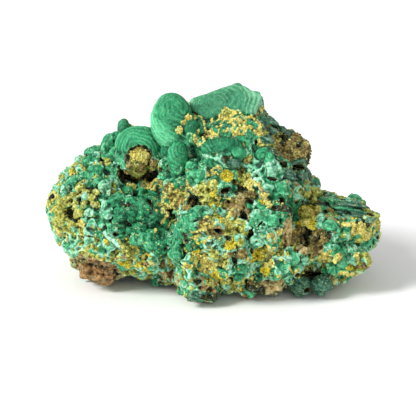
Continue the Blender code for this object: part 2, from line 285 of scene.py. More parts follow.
# Where each kind of crust lies on the face: kind, across, up, half across, half up. A later one covers an
# earlier one.
PATCHES = (
    ("lumps", -41, 40, 12, 10), ("green", -34, 48, 8, 7), ("lumps", -52, 30, 8, 6),
    ("mixed", -46, 14, 14, 6), ("mint", -42, 18, 12, 4), ("mint", -30, 14, 6, 4),
    ("emerald", -24, 24, 11, 11), ("emerald", -16, 30, 8, 9), ("green", -22, 12, 8, 7),
    ("olive", -38, 9.5, 13, 4.4), ("olive", -27, 3.6, 8, 4.6), ("olive", -31, 11, 4.2, 2.8),
    ("mixed", -20, 6, 7, 4), ("brown", -40, 1.6, 10, 5.0), ("umber", -46, 5, 3, 3),
    ("gold", -58.5, 27, 1.6, 3.6), ("spheres", -49, 25, 6.6, 5.0), ("spheres", -43, 28.5, 5.0, 3.6),
    ("mint", -36, 27, 2.4, 6), ("spheres", -37, 40, 3.2, 2.6), ("olive", -48, 39, 3.6, 2.2),
    ("gold", -46, 33, 2.4, 1.8), ("emerald_gold", -12, 26, 6.6, 8), ("umber", -9, 24, 3.4, 5),
    ("emerald_gold", -20, 33, 4.4, 2.4), ("green", -8, 42, 6, 12), ("pale", 4, 64, 17, 7.6),
    ("pale", 14, 62, 7, 5), ("green", 8, 48, 13, 6), ("emerald", 6, 47, 10, 3.6),
    ("gold_net", 6, 55, 12.5, 5.4), ("gold_net", 15, 57, 4.6, 6), ("gold_net", -1, 51, 4.5, 5),
    ("gold", 9, 57, 7, 2.6), ("gold", -5.6, 53, 1.6, 3), ("slate", 25, 51, 9, 10), ("slate", 34, 38, 6, 9),
    ("gold", 17, 50, 1.6, 4.6), ("gold", 23.6, 50, 1.8, 2.6), ("brass", 31, 45, 5.4, 5),
    ("mixed", 6, 27, 18, 17), ("mint", 16, 36, 9, 7), ("mixed", 4, 10, 18, 14), ("mixed", 26, 8, 12, 14),
    ("mint", -2, 16, 5, 6), ("mint", 22, 12, 5, 8), ("gold", 1, 37, 2.6, 3.4), ("lemon", 6, 36, 1.9, 2.4),
    ("spheres", 12, 34, 3.2, 2.8), ("lemon", 1, 30, 1.4, 1.6), ("umber", 13, 29, 3.8, 2.4),
    ("gold", 4, 28, 3.0, 1.5), ("beige", 9, 25.4, 4.4, 3.0), ("umber", 11, 22, 2.8, 2.4),
    ("olive", 10, 19, 2.6, 2.4), ("gold", 20, 26, 1.1, 3.2), ("gold", -1, 19, 2.8, 2.2),
    ("beige", 2, 16.5, 2.6, 2.2), ("gold", -5, 15, 1.8, 2.4), ("lemon", -5, 10.5, 1.6, 2.4),
    ("gold", -1, 6, 3.1, 2.4), ("lemon", 3, 1.4, 2.4, 1.4), ("gold", -7, 5, 2.4, 1.4),
    ("lemon", 7.2, 12, 2.8, 2.4), ("lemon", 16.6, 8.2, 3.6, 3.2), ("gold", 20.4, 6, 2.4, 3.6),
    ("lemon", 19.6, 2.6, 2.4, 1.8), ("umber", 10, 9, 4.4, 1.8), ("umber", 20, -3, 9, 2.6),
    ("olive", 7, -3, 5, 2.6), ("beige", 27.2, 15, 2.0, 6.4), ("spheres", 25, 23.6, 4.4, 2.0),
    ("mixed", 44, 14, 15, 15), ("slate", 40, 27, 10, 4), ("olive", 34.6, 30.4, 5.4, 3.2),
    ("brass", 31.4, 14, 3.0, 4.4), ("lemon", 35, 23, 4.6, 3.0), ("lemon", 34, 19.4, 2.2, 2.2),
    ("umber", 36, 10.6, 5, 2.6), ("brass", 39, 14.6, 3.4, 3), ("mixed", 48, 1, 9, 5),
    ("gold", 43, 8, 4.4, 3), ("spheres", 53, 16, 4.4, 5.2), ("gold", 48, 19, 2.4, 2.1),
    ("green", 47, 11, 3.4, 3), ("green", 44, 1.6, 7, 2.6), ("gold", 50, 1.6, 4, 1.4),
    ("slate", 51, 24.6, 10, 3.2), ("olive", -4, -2, 6.6, 3), ("slate", -2, -6.6, 8, 2.4),
    ("green", -9.4, -4, 2.2, 3), ("slate", 36, -3, 9, 4), ("emerald_gold", -6, 32, 2.4, 4.4),
    ("gold", -10, 29, 2.6, 2.4), ("green", -5, 38, 3.2, 6),
)


class Swells:
    """Smooth random values through space, between about -1 and 1, the same on every run."""

    SIDE = 64

    def __init__(self, seed):
        values = np.random.default_rng(seed).uniform(-1.0, 1.0, (self.SIDE,) * 3)
        self.values = values.astype(np.float32)

    def __call__(self, points, size):
        place = np.asarray(points, np.float32) / size
        whole = np.floor(place).astype(np.int32)
        part = place - whole
        part = part * part * (3.0 - 2.0 * part)
        total = np.zeros(place.shape[:-1], np.float32)
        for corner in np.ndindex(2, 2, 2):
            weight = np.ones_like(total)
            index = []
            for axis, step in enumerate(corner):
                weight *= part[..., axis] if step else 1.0 - part[..., axis]
                index.append((whole[..., axis] + step) % self.SIDE)
            total += weight * self.values[tuple(index)]
        return total

    def layered(self, points, size, layers=3):
        """Swells with smaller and weaker ones on top."""
        return sum(
            self(points + ASIDE["layer"] * layer, size / 2**layer) / 2**layer
            for layer in range(layers)
        )


class Seeds:
    """Points strewn through space, one in each small cube."""

    SIDE = 32

    def __init__(self, seed):
        rng = np.random.default_rng(seed)
        self.jitter = rng.uniform(0.0, 1.0, (self.SIDE,) * 3 + (3,)).astype(np.float32)
        self.values = rng.uniform(0.0, 1.0, (self.SIDE,) * 3).astype(np.float32)

    def __call__(self, points, size):
        """How far the nearest and second seeds are, in steps of size, and the nearest one's own value."""
        place = np.asarray(points, np.float32) / size
        whole = np.floor(place).astype(np.int32)
        first = np.full(place.shape[:-1], 9.0, np.float32)
        second = first.copy()
        own = np.zeros_like(first)
        for step in np.ndindex(3, 3, 3):
            cube = whole + np.array(step, np.int32) - 1
            index = tuple(np.moveaxis(cube % self.SIDE, -1, 0))
            away = np.linalg.norm(cube + self.jitter[index] - place, axis=-1)
            closer = away < first
            second = np.where(closer, first, np.minimum(second, away))
            own = np.where(closer, self.values[index], own)
            first = np.where(closer, away, first)
        return first, second, own


def smooth_step(low, high, values):
    """0 below low, 1 above high, and an even rise between them."""
    rise = np.clip((values - low) / (high - low), 0.0, 1.0)
    return rise * rise * (3.0 - 2.0 * rise)


def merged(first, second, blend):
    """The smaller of two distances, with a fillet of about the blend's size where they meet."""
    share = np.clip(0.5 + 0.5 * (second - first) / blend, 0.0, 1.0)
    return second + (first - second) * share - blend * share * (1.0 - share)


def read_values(items, name, width, kind=np.float64):
    """What each item of a mesh's list holds under a name, as a row of values."""
    values = np.empty(len(items) * width, kind)
    items.foreach_get(name, values)
    return values.reshape(-1, width)


class StoneBlock:
    """The stone as small cells, in mm, that each hold a distance to the skin and which form made them."""

    # How many cells on each side of the skin know their distance
    BAND_CELLS = 12.0
    # The empty space around the stone, in mm
    MARGIN = 3.0
    # How far beside the stone a place on its face may lie, in mm
    BESIDE = 3.5
    # Half the length of the lines that look for the face, in mm
    REACH = 80.0
    # How thick the dark lining of a pocket is, in mm
    LINING = 0.3

    def __init__(self, node, cell):
        mesh = node.data
        mesh.calc_loop_triangles()
        self.cell = cell
        grid = openvdb.FloatGrid.createLevelSetFromPolygons(
            read_values(mesh.vertices, "co", 3, np.float32) / MM,
            triangles=read_values(mesh.loop_triangles, "vertices", 3, np.int32).astype(np.uint32),
            transform=openvdb.createLinearTransform(voxelSize=cell),
            halfWidth=self.BAND_CELLS,
        )
        margin = int(self.MARGIN / cell)
        first, last = grid.evalActiveVoxelBoundingBox()
        self.first = tuple(int(index) - margin for index in first)
        shape = tuple(int(b) + margin - a + 1 for a, b in zip(self.first, last))
        self.gap = np.empty(shape, np.float32)
        grid.copyToArray(self.gap, ijk=self.first)
        self.maker = np.zeros(shape, np.uint16)
        self.minerals = [NO_MINERAL]
        self.poles = [np.zeros(3)]
        self.ringed = [False]
        self.axes = [(np.arange(n, dtype=np.float32) + a) * cell for n, a in zip(shape, self.first)]

    def _near(self, centre, reach):
        """The cells within reach of a point, and their offsets from it."""
        spans = []
        for axis, marks in enumerate(self.axes):
            low, high = np.searchsorted(marks, (centre[axis] - reach, centre[axis] + reach))
            spans.append(slice(int(low), int(high)))
        offsets = [marks[span] - centre[axis] for axis, (marks, span) in enumerate(zip(self.axes, spans))]
        return tuple(spans), np.stack(np.meshgrid(*offsets, indexing="ij"), axis=-1)

    def grow_slab(self, centre, half_sizes, mineral, turn, pole, corner=1.2, blend=2.4):
        """Add a box with rounded corners. Its growth rings are centred on the pole."""
        spans, offsets = self._near(centre, float(np.linalg.norm(half_sizes)) + 1.0)
        outside = np.abs(offsets @ turn) - (np.asarray(half_sizes) - corner)
        distance = np.linalg.norm(np.maximum(outside, 0.0), axis=-1)
        distance += np.minimum(outside.max(axis=-1), 0.0) - corner
        self._add(spans, distance, mineral, pole, True, blend)

    def _note(self, spans, made, mineral, pole, ringed):
        """Note a form, and the cells that it made."""
        self.minerals.append(MINERAL_NUMBER[mineral])
        self.poles.append(np.asarray(pole, float))
        self.ringed.append(ringed)
        self.maker[spans][made] = len(self.minerals) - 1

    def _add(self, spans, distance, mineral, pole, ringed, blend):
        """Merge a new form with the stone. If it has no mineral, it takes that of the stone around it."""
        old = self.gap[spans]
        if mineral is not None:
            self._note(spans, distance < old, mineral, pole, ringed)
        self.gap[spans] = merged(old, distance, blend)

    def _ellipsoid(self, centre, half_sizes, turn, blend):
        """Distances to an ellipsoid in the cells around it, as far as its blend reaches."""
        spans, offsets = self._near(centre, float(max(half_sizes)) + 2.0 * blend + 1.0)
        local = offsets @ turn
        half_sizes = np.asarray(half_sizes)
        near = np.linalg.norm(local / half_sizes, axis=-1)
        slope = np.linalg.norm(local / half_sizes**2, axis=-1)
        return spans, near * (near - 1.0) / np.maximum(slope, 1e-6)

    def grow(self, centre, half_sizes, mineral, turn=np.eye(3), blend=0.5, pole=None):
        """Add a lobe. Its growth rings are centred on the pole, which is its middle unless one is given."""
        spans, distance = self._ellipsoid(centre, half_sizes, turn, blend)
        ringed = pole is not None
        self._add(spans, distance, mineral, pole if ringed else centre, ringed, blend)

    def carve(self, centre, half_sizes, turn=np.eye(3), blend=0.4, lined=True):
        """Take a pocket out. If it is lined, its walls are the dark hollow mineral."""
        spans, distance = self._ellipsoid(centre, half_sizes, turn, blend)
        old = self.gap[spans]
        if lined:
            self._note(spans, -distance > old - self.LINING, "hollow", centre, False)
        self.gap[spans] = -merged(-old, distance, blend)

    def _band(self, width):
        """The cells no further than a width from the skin, and where they are."""
        band = np.nonzero(np.abs(self.gap) < width)
        return band, np.stack([marks[index] for marks, index in zip(self.axes, band)], axis=-1)

    def roughen(self, swells, size, height):
        """Push the skin in and out with swells, where it lies now."""
        band, points = self._band(2.5 * height + self.cell)
        self.gap[band] += height * swells.layered(points, size)

    def bud(self, swells, size, height, ringed_share):
        """Cover the skin with round lumps that meet in creases, and ringed lobes with lower ones."""
        band, points = self._band(1.5 * height + self.cell)
        amount = np.where(np.array(self.ringed)[self.maker[band]], ringed_share, 1.0)
        lumps = np.abs(swells(points + ASIDE["lumps"], size)) + 0.2 * np.abs(swells(points, 0.4 * size))
        self.gap[band] += height * amount * (0.5 - 1.7 * lumps)

    def stand(self):
        """Cut the stone off at the surface that it rests on."""
        self.gap = np.maximum(self.gap, -self.axes[2])

    def values_at(self, grid, points):
        """What the nearest cells of a grid hold."""
        index = np.rint(points / self.cell).astype(np.int32) - np.array(self.first)
        index = np.clip(index, 0, np.array(grid.shape) - 1)
        return grid[tuple(index.T)]

    def face_point(self, across, up):
        """Where a line into the leaning face first meets the stone, or passes closest beside it."""
        steps = np.arange(-self.REACH, self.REACH, 0.5 * self.cell)
        line = np.array((across, 0.0, 0.0)) + up * UP_FACE + steps[:, None] * INTO_STONE
        low = np.array([marks[0] for marks in self.axes])
        high = np.array([marks[-1] for marks in self.axes])
        line = line[((line > low) & (line < high)).all(axis=1)]
        gaps = self.values_at(self.gap, line)
        if gaps.min() > self.BESIDE:
            raise RuntimeError(f"no stone near the place {across}, {up} on the face")
        return line[np.argmax(gaps < max(0.0, gaps.min() + 1e-6))]

    def skin(self, whole=True):
        """The skin as points and four-sided faces. Unless it is wanted whole, loose crumbs are left out."""
        grid = openvdb.FloatGrid(background=float(self.gap.max()))
        grid.transform = openvdb.createLinearTransform(voxelSize=self.cell)
        grid.copyFromArray(self.gap, ijk=self.first)
        points, _, faces = grid.convertToPolygons(isovalue=0.0, adaptivity=0.0)
        faces = faces.astype(np.int32)
        if whole:
            return points, faces
        group = joined_groups(len(points), edges_of(faces))
        main = np.bincount(group).argmax()
        kept = group == main
        renumber = np.cumsum(kept) - 1
        return points[kept], renumber[faces[kept[faces[:, 0]]]]


def edges_of(faces):
    """Each side of each face, as pairs of point numbers."""
    return np.concatenate([faces[:, (a, (a + 1) % 4)] for a in range(4)])


def joined_groups(count, edges):
    """A number for each point, the same for all points that edges join."""
    ends = np.concatenate((edges, edges[:, ::-1]))
    ends = ends[np.argsort(ends[:, 0], kind="stable")]
    starts = np.searchsorted(ends[:, 0], np.arange(count))
    group = np.arange(count)
    while True:
        lowest = np.minimum(group, np.minimum.reduceat(group[ends[:, 1]], starts))
        lowest = lowest[lowest]
        if (lowest == group).all():
            return group
        group = lowest


def spread(values, edges, rounds, share=1.0):
    """Even out values (a column for each kind) between neighbouring points."""
    count = np.bincount(edges[:, 0], minlength=len(values)) + np.bincount(edges[:, 1], minlength=len(values))
    for _ in range(rounds):
        total = np.empty_like(values)
        for column in range(values.shape[1]):
            total[:, column] = np.bincount(edges[:, 0], values[edges[:, 1], column], len(values))
            total[:, column] += np.bincount(edges[:, 1], values[edges[:, 0], column], len(values))
        values = values + share * (total / count[:, None] - values)
    return values


def roll_about_line(degrees, lean=0.0):
    """A turn about the line into the face, and a lean back, as a matrix for row vectors."""
    roll = Matrix.Rotation(math.radians(-degrees), 3, Vector(INTO_STONE))
    return np.array(roll @ Matrix.Rotation(-FACE_LEAN - math.radians(lean), 3, "X"))


def grow_slabs(block):
    """Flat-faced blocks."""
    pole = block.face_point(*SLAB_RINGS)
    for mineral, across, up, half_across, half_deep, half_up, roll, lean in SLABS:
        centre = block.face_point(across, up) + (half_deep - SLAB_OUT) * INTO_STONE
        half_sizes = (half_across, half_deep, half_up)
        block.grow_slab(centre, half_sizes, mineral, roll_about_line(roll, lean), pole)


def grow_lobes(block):
    """The large lobes, with their growth rings."""
    for mineral, across, up, half_across, half_up, sink, pole_across, pole_up in LOBES:
        centre = block.face_point(across, up) + sink * INTO_STONE
        half_deep = min(half_across, half_up)
        pole = centre + pole_across * np.array((1.0, 0.0, 0.0)) + pole_up * UP_FACE - half_deep * INTO_STONE
        half_sizes = (half_across, half_deep, half_up)
        pole = pole if mineral in RINGED else None
        block.grow(centre, half_sizes, mineral, roll_about_line(0.0), blend=0.6, pole=pole)


def grow_fingers(block):
    """Chains of overlapping lobes."""
    for mineral, stops in FINGERS:
        ends = [
            (block.face_point(across, up) + SUNK * radius * INTO_STONE, radius)
            for across, up, radius in stops
        ]
        for (start, start_radius), (end, end_radius) in zip(ends, ends[1:]):
            beads = max(2, int(np.linalg.norm(end - start) / (0.55 * start_radius)))
            for share in np.linspace(0.0, 1.0, beads):
                radius = start_radius + share * (end_radius - start_radius)
                centre = start + share * (end - start)
                block.grow(centre, (radius,) * 3, mineral, blend=0.5)


def grow_knobs(block, rng):
    """Lumpy knobs, a little sunk into the skin."""
    for mineral, places in KNOBS.items():
        for across, up, radius in places:
            centre = block.face_point(across, up) + SUNK * radius * INTO_STONE
            half_sizes = radius * rng.uniform(0.8, 1.15, 3)
            block.grow(centre, half_sizes, mineral, random_turn(rng), blend=0.45)


def random_turn(rng):
    """A turn about a random line, as a matrix for row vectors."""
    turn, _ = np.linalg.qr(rng.normal(size=(3, 3)))
    return turn * np.sign(np.linalg.det(turn))


def carve_pits(block, shape, rng, swells):
    """Small pits strewn over the whole stone, thickest where the swells run low."""
    points, faces = block.skin()
    normals = face_normals_at_points(points, faces)
    crowd = smooth_step(0.25, -0.25, swells.layered(points + ASIDE["pits"], 10.0))
    lowest, highest = PIT_HEIGHTS
    crowd[(points[:, 2] < lowest) | (points[:, 2] > highest)] = 0.0
    crowd[np.array(block.ringed)[block.values_at(block.maker, points)]] = 0.0
    for number in strewn(points, PIT_SPACING, PIT_CHANCE * crowd, rng, shape.pits):
        size = rng.uniform(*PIT_SIZES)
        half_sizes = size * np.array((1.0, rng.uniform(0.5, 1.0), 1.3))
        centre = points[number] - 0.2 * size * normals[number]
        block.carve(centre, half_sizes, random_turn(rng), blend=0.4, lined=size > LINED_PIT)


def carve_pockets(block):
    """Open pockets and slots."""
    for across, up, half_across, half_up, deep, roll in POCKETS:
        centre = block.face_point(across, up) + SUNK * deep * INTO_STONE
        block.carve(centre, (half_across, 0.75 * deep, half_up), roll_about_line(roll))


def grow_plates(block):
    """Thin plates standing out from the skin."""
    for mineral, across, up, half_along, half_thick, tilt in PLATES:
        centre = block.face_point(across, up) + PLATE_SUNK * INTO_STONE
        half_sizes = (half_along, PLATE_DEPTH, half_thick)
        block.grow(centre, half_sizes, mineral, roll_about_line(tilt), blend=0.25)


def strewn(points, spacing, chance, rng, most):
    """Numbers of random points at least spacing apart. Chance says how likely each point is."""
    order = np.nonzero(rng.uniform(size=len(points)) < chance)[0]
    rng.shuffle(order)
    taken = {}
    chosen = []
    for number in order:
        place = points[number]
        cube = tuple(int(value // spacing) for value in place)
        around = [
            taken[key] for step in np.ndindex(3, 3, 3)
            if (key := (cube[0] + step[0] - 1, cube[1] + step[1] - 1, cube[2] + step[2] - 1)) in taken
        ]
        if all(sum((place - other) ** 2) > spacing * spacing for other in around):
            taken[cube] = place
            chosen.append(number)
            if len(chosen) == most:
                break
    return np.array(chosen, int)


def grow_botryoids(block, shape, rng, swells):
    """Small round growths in loose crowds over the whole stone, thickest where the swells run high."""
    points, faces = block.skin()
    normals = face_normals_at_points(points, faces)
    crowd = smooth_step(-0.15, 0.35, swells.layered(points, 11.0))
    front = smooth_step(-0.2, 0.3, -(normals @ INTO_STONE))
    for radius, likely in BOTRYOIDS:
        chance = likely * crowd * (1.0 - FACE_THINNING * front)
        chance[points[:, 2] > BOTRYOID_TOP] = 0.0
        for number in strewn(points, 1.5 * radius, chance, rng, shape.botryoids):
            if points[number][2] < radius:
                continue
            size = radius * rng.uniform(0.75, 1.2)
            centre = points[number] - SUNK * size * normals[number]
            half_sizes = size * rng.uniform(0.8, 1.2, 3)
            block.grow(centre, half_sizes, None, random_turn(rng), blend=0.6)


def face_normals_at_points(points, faces):
    """Outward directions at the points of a skin."""
    across = points[faces[:, 2]] - points[faces[:, 0]]
    along = points[faces[:, 3]] - points[faces[:, 1]]
    facing = np.cross(across, along)
    normals = np.zeros_like(points)
    for axis in range(3):
        for corner in range(4):
            normals[:, axis] += np.bincount(faces[:, corner], facing[:, axis], len(points))
    return normals / np.maximum(np.linalg.norm(normals, axis=1, keepdims=True), 1e-9)


def walls(points, swells):
    """1 along thin winding walls, and below 0 in the middle of the hollows between them."""
    return 1.0 - WALL_FALL * np.abs(swells.layered(points + ASIDE["walls"], WALL_SPACING, 2))


def worms(points, swells):
    """1 along narrow winding strings, and below 0 away from them."""
    return 1.0 - WORM_FALL * np.abs(swells.layered(points + ASIDE["worms"], WORM_SPACING, 2))


def lay_minerals(points, normals, swells):
    """Which mineral covers each point of the skin that no lobe made."""
    wander = swells.layered(points, 13.0)
    second_wander = swells.layered(points + ASIDE["wander"], 9.0)
    kinds = tuple(CRUSTS)
    kind = np.full(len(points), kinds.index("green"))
    low = points[:, 2] < FOOT_HEIGHT + FOOT_WANDER * swells(points, 15.0)
    for name, there in (
        ("lumps", wander > -0.1), ("mixed", wander > 0.2),
        ("emerald", second_wander > 0.3), ("spheres", second_wander < -0.4),
        ("brown", low & (second_wander < 0.1)), ("olive", low & (second_wander < -0.2)),
    ):
        kind[there] = kinds.index(name)
    across = points[:, 0]
    up = points @ UP_FACE
    ragged = 0.4 * swells.layered(points + ASIDE["ragged"], 3.6)
    front = (-(normals @ INTO_STONE) > -0.15) & (points[:, 1] < 14.0)
    for name, middle, height, half_across, half_up in PATCHES:
        reach = np.hypot((across - middle) / half_across, (up - height) / half_up)
        kind[front & (reach + ragged < 1.0)] = kinds.index(name)

    strung = np.isin(kind, [kinds.index(name) for name in ("gold_net", "emerald_gold", "gold")])
    liking = {
        "mint": 2.6 * (walls(points, swells) - 0.45),
        "gold": 5.0 * strung * (worms(points, swells) - 0.05),
    }
    strongest = np.full(len(points), -99.0)
    mineral = np.zeros(len(points), int)
    for number, name in enumerate(MINERALS):
        amount = np.array([CRUSTS[crust].get(name, 1e-9) for crust in kinds])
        away = points + ASIDE["mineral"] * number
        strength = np.log(amount)[kind] + MINGLING * (swells(away, 4.6) + 0.45 * swells(away, 1.9))
        strength += liking.get(name, 0.0)
        mineral[strength > strongest] = number
        strongest = np.maximum(strength, strongest)
    return mineral


def fine_relief(points, share, ring, ringed, swells, seeds):
    """How far each point is pushed out, in mm: pitted walls, grains, ridges and growth rings by mineral."""
    def of(*names):
        """How much of each point these minerals cover together."""
        return sum(share[:, MINERAL_NUMBER[name]] for name in names)

    plain = 1.0 - ringed
    chaos = swells.layered(points + ASIDE["chaos"], 2.1)
    ridged = walls(points, swells)
    bend = np.stack([swells(points + ASIDE["warp"] * axis, 1.9) for axis in range(3)], axis=-1)
    warped = points + 0.9 * bend
    first, second, own = seeds(warped, 2.1)
    wall = smooth_step(0.3, 0.0, second - first)
    pit = smooth_step(0.5, 0.1, first) * (own > 0.6)
    beads = 0.5 - seeds(warped + ASIDE["beads"], 1.1)[0]
    bands = np.sin(2.0 * math.pi * (ring + 0.5 * swells(points, 3.5)) / RING_STEP)
    flattened = points * np.array((0.3, 0.5, 1.6)) + points[:, :1] * np.array((0.0, 0.0, 0.5))
    strata = swells.layered(flattened, 1.6)
    relief = of("mint", "olive") * (0.25 * chaos + 0.5 * ridged + 0.15 * wall - 0.6 * pit + 0.12 * beads)
    relief += of("gold", "lemon", "brass") * (0.15 + 0.3 * chaos + 0.55 * beads)
    relief += of("green", "emerald") * plain * (0.3 * chaos + 0.16 * beads + 0.3 * ridged - 0.3 * pit)
    relief += of("green", "emerald", "slate", "pale") * ringed * (0.07 * bands + 0.15 * chaos)
    relief += of("slate") * plain * (0.5 * strata + 0.15 * chaos)
    relief += of("pale") * plain * (0.08 * chaos + 0.1 * strata)
    relief += of("beige", "brown") * (0.4 * ridged + 0.3 * chaos + 0.2 * beads - 0.4 * pit)
    relief += of("hollow") * (0.4 * ridged + 0.4 * chaos + 0.4 * beads)
    return relief


def stone_mesh(name, points, faces):
    """A mesh in metres from points in mm."""
    mesh = bpy.data.meshes.new(name)
    mesh.vertices.add(len(points))
    mesh.vertices.foreach_set("co", (points * MM).astype(np.float32).ravel())
    mesh.loops.add(faces.size)
    mesh.loops.foreach_set("vertex_index", faces.astype(np.int32).ravel())
    mesh.polygons.add(len(faces))
    mesh.polygons.foreach_set("loop_start", np.arange(0, faces.size, faces.shape[1], dtype=np.int32))
    mesh.update(calc_edges=True)
    mesh.validate()
    mesh.shade_smooth()
    return mesh


def add_colour_attribute(mesh, name, values):
    """Store four values for each point."""
    attribute = mesh.attributes.new(name, "FLOAT_COLOR", "POINT")
    attribute.data.foreach_set("color", values.astype(np.float32).ravel())


def show(mesh, name, material):
    """Put a mesh in the scene as a piece of the stone."""
    piece = bpy.data.objects.new(name, mesh)
    bpy.context.scene.collection.objects.link(piece)
    mesh.materials.append(material)
    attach(piece, "root")
    return piece


def from_screen(red, green, blue):
    """A colour given as it looks on a screen, 0 to 255, as the linear values that shaders use."""
    return tuple(
        value / 255 / 12.92 if value < 11 else ((value / 255 + 0.055) / 1.055) ** 2.4
        for value in (red, green, blue)
    )


def mineral_colour(name, description, red, green, blue):
    """A colour that a user can change, given as it looks on a screen."""
    return FloatVectorProperty(
        name=name,
        description=description,
        subtype="COLOR",
        size=3,
        min=0.0,
        max=1.0,
        default=from_screen(red, green, blue),
    )


# The darkest and palest tone of each mineral
DARK_AND_PALE = {
    "green": (from_screen(8, 66, 42), from_screen(112, 212, 156)),
    "emerald": (from_screen(4, 42, 26), from_screen(76, 182, 122)),
    "mint": (from_screen(20, 92, 62), from_screen(188, 240, 208)),
    "pale": (from_screen(34, 104, 74), from_screen(134, 202, 160)),
    "slate": (from_screen(12, 40, 30), from_screen(120, 165, 135)),
    "gold": (from_screen(84, 74, 22), from_screen(242, 236, 150)),
    "lemon": (from_screen(104, 90, 8), from_screen(240, 228, 90)),
    "olive": (from_screen(60, 66, 18), from_screen(218, 220, 126)),
    "brass": (from_screen(44, 36, 14), from_screen(204, 180, 104)),
    "beige": (from_screen(76, 62, 34), from_screen(212, 200, 150)),
    "brown": (from_screen(46, 30, 16), from_screen(208, 170, 114)),
    "hollow": (from_screen(8, 10, 5), from_screen(90, 84, 44)),
}
# Crumbs of the pale tone of a mineral over the whole stone: how far apart they are, in metres, and how many
CRUMBS = (("gold", 0.0006, 0.09), ("mint", 0.0007, 0.02))
ROUGHNESS = {
    "green": 0.5, "emerald": 0.46, "mint": 0.62, "pale": 0.5, "slate": 0.5, "gold": 0.66,
    "lemon": 0.6, "olive": 0.68, "brass": 0.6, "beige": 0.8, "brown": 0.8, "hollow": 0.85,
}


def length_setting(name, description, default, least, most):
    """A size in metres that a user can change."""
    return FloatProperty(
        name=name, description=description, default=default,
        min=least, max=most, unit="LENGTH", precision=5,
    )


def light_setting(name, description, default, most):
    """The strength of a light that a user can change."""
    return FloatProperty(name=name, description=description, default=default, min=0.0, max=most)


class SpecimenShape(bpy.types.PropertyGroup):
    """Sizes of the stone's skin"""

    cell: length_setting("Cell", "Size of the finest detail that is modelled", 0.00033, 0.00025, 0.002)
    inset: length_setting(
        "Inset", "How far inside the frame the skin starts, before anything grows", 0.0013, 0.0, 0.004,
    )
    swell_height: length_setting("Swell Height", "How far the broad swells stand out", 0.0008, 0.0, 0.004)
    swell_size: length_setting("Swell Size", "Distance from one broad swell to the next", 0.009, 0.002, 0.04)
    lump_height: length_setting("Lump Height", "How far the small lumps stand out", 0.0008, 0.0, 0.003)
    lump_size: length_setting("Lump Size", "Distance from one small lump to the next", 0.0042, 0.0005, 0.02)
    botryoids: IntProperty(
        name="Botryoids", description="Round growths of each size strewn over the stone", default=300,
        min=0, max=3000,
    )
    pits: IntProperty(
        name="Pits", description="Small pits strewn over the stone", default=200, min=0, max=3000,
    )
    relief: FloatProperty(
        name="Relief", description="Strength of the pits, grains and ridges", default=1.0,
        min=0.0, max=3.0, subtype="FACTOR",
    )
    seed: IntProperty(name="Seed", description="Picks another stone of the same kind", default=7, min=0)


class SpecimenGrains(bpy.types.PropertyGroup):
    """Sizes of the loose grains that crust the yellow patches"""

    radius: length_setting("Radius", "Middle radius of a grain", 0.00042, 0.0001, 0.002)
    spacing: length_setting("Spacing", "Least distance between two grains", 0.0008, 0.0002, 0.01)


class SpecimenColours(bpy.types.PropertyGroup):
    """Middle tone of each mineral"""

    green: mineral_colour("Green", "Common knobs and rings", 50, 156, 104)
    emerald: mineral_colour("Emerald", "Dark velvety lobes", 26, 122, 80)
    mint: mineral_colour("Mint", "Pale pitted crust", 104, 194, 148)
    pale: mineral_colour("Pale", "Polished swirls on the crown", 66, 148, 106)
    slate: mineral_colour("Slate", "Dark layered plates", 50, 102, 80)
    gold: mineral_colour("Gold", "Mustard grains", 216, 202, 98)
    lemon: mineral_colour("Lemon", "Bright yellow clusters", 212, 194, 30)
    olive: mineral_colour("Olive", "Dull yellow-green crust", 170, 172, 68)
    brass: mineral_colour("Brass", "Brown-gold nodules", 118, 104, 48)
    beige: mineral_colour("Beige", "Porous ridges", 186, 158, 96)
    brown: mineral_colour("Brown", "Rusty rock at the foot", 146, 108, 64)
    hollow: mineral_colour("Hollow", "Lining of pits and pockets", 44, 46, 22)


class SpecimenStage(bpy.types.PropertyGroup):
    """Floor, lights and camera"""

    floor_colour: mineral_colour("Floor", "Plain floor", 250, 250, 250)
    key_power: light_setting("Key Power", "Strength of the soft light from the upper left", 3.05, 20.0)
    fill_power: light_setting("Fill Power", "Strength of the softer light from the low front", 0.45, 20.0)
    sky: light_setting("Sky", "Strength of the even light from all round", 0.6, 5.0)
    distance: length_setting("Distance", "From the camera to the middle of the stone", 0.62, 0.2, 5.0)
    width: length_setting("View Width", "How wide the view is at the stone", 0.1513, 0.05, 2.0)


def add_node(tree, kind, column, row, inputs=None, **settings):
    """Add a node at a column and row. An input is given a value, or a socket to take it from."""
    node = tree.nodes.new(kind)
    node.location = (230 * column, -190 * row)
    for name, value in settings.items():
        setattr(node, name, value)
    for name, value in (inputs or {}).items():
        if isinstance(value, bpy.types.NodeSocket):
            tree.links.new(value, node.inputs[name])
        else:
            node.inputs[name].default_value = value
    return node


def add_maths(tree, kind, column, row, *values, **settings):
    """Add a maths node and return its result."""
    inputs = dict(enumerate(values))
    return add_node(tree, "ShaderNodeMath", column, row, inputs, operation=kind, **settings).outputs[0]


def add_blend(tree, column, row, share, first, second, kind="MIX"):
    """Blend two colours and return the result."""
    inputs = {0: share, 6: first, 7: second}
    node = add_node(tree, "ShaderNodeMix", column, row, inputs, data_type="RGBA", blend_type=kind)
    return node.outputs[2]


def add_range(tree, column, row, value, low, high, to_low=0.0, to_high=1.0, kind="LINEAR"):
    """Stretch a value from one range to another, or to 0 to 1, and return the result."""
    inputs = {"Value": value, "From Min": low, "From Max": high, "To Min": to_low, "To Max": to_high}
    return add_node(tree, "ShaderNodeMapRange", column, row, inputs, interpolation_type=kind).outputs[0]


def add_noise(tree, column, row, place, scale, detail, rough, bend=0.0):
    """Add cloudy noise and return its value."""
    inputs = {"Vector": place, "Scale": scale, "Detail": detail, "Roughness": rough, "Distortion": bend}
    return add_node(tree, "ShaderNodeTexNoise", column, row, inputs).outputs["Fac"]


